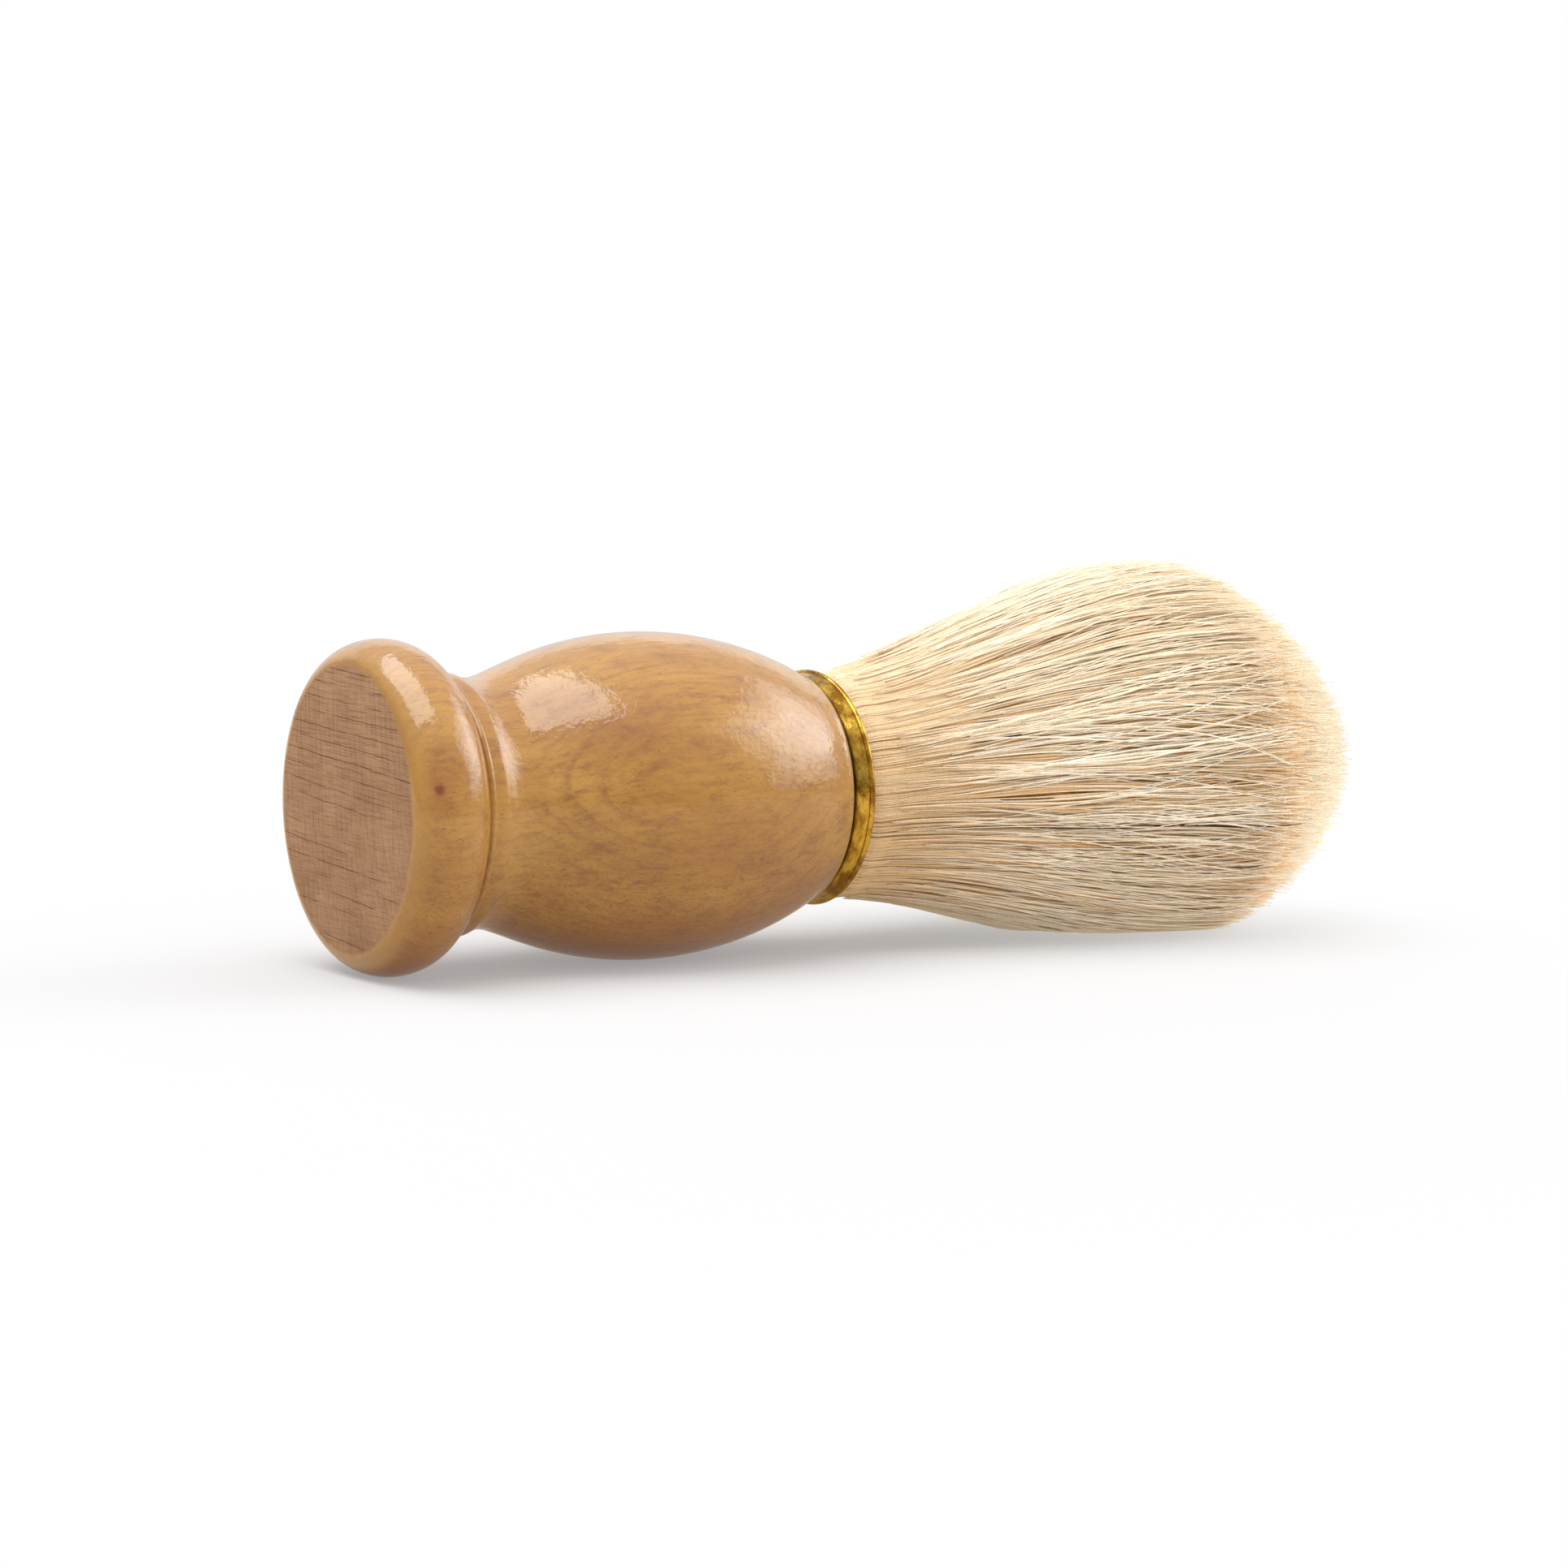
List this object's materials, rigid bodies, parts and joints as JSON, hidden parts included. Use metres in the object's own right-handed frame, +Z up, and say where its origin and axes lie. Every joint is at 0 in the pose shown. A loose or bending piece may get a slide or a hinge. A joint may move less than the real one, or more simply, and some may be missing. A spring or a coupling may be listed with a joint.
{
  "type": "shaving brush",
  "caption": "Shaving brush lying on its side: lacquered turned wooden handle with a foot flange, a gold metal collar and a bulb of cream natural bristles.",
  "frame": {"origin": "on the surface that the brush lies on, under the middle of the whole brush", "axes": "+X along the brush from the foot to the bristle tips, +Z up, away from the surface that it lies on"},
  "size_m": [0.1101, 0.0374, 0.0354],
  "materials": {
    "lacquered_wood": "honey-brown wood grain under glossy clear lacquer, bare matte end grain on the foot",
    "gold_metal": "polished gold-coloured metal with fine pitting",
    "bristle": "cream natural bristle, slightly glossy, with a few dark hairs",
    "thread": "matte cotton thread",
    "resin": "amber cast resin",
    "glue": "set clear glue"
  },
  "bodies": {
    "root": {"handle": "lacquered_wood", "ferrule_ring": "gold_metal", "bristle_knot": "bristle", "binding_thread": "thread", "resin_plug": "resin", "glue_bed": "glue"}
  },
  "joints": []
}
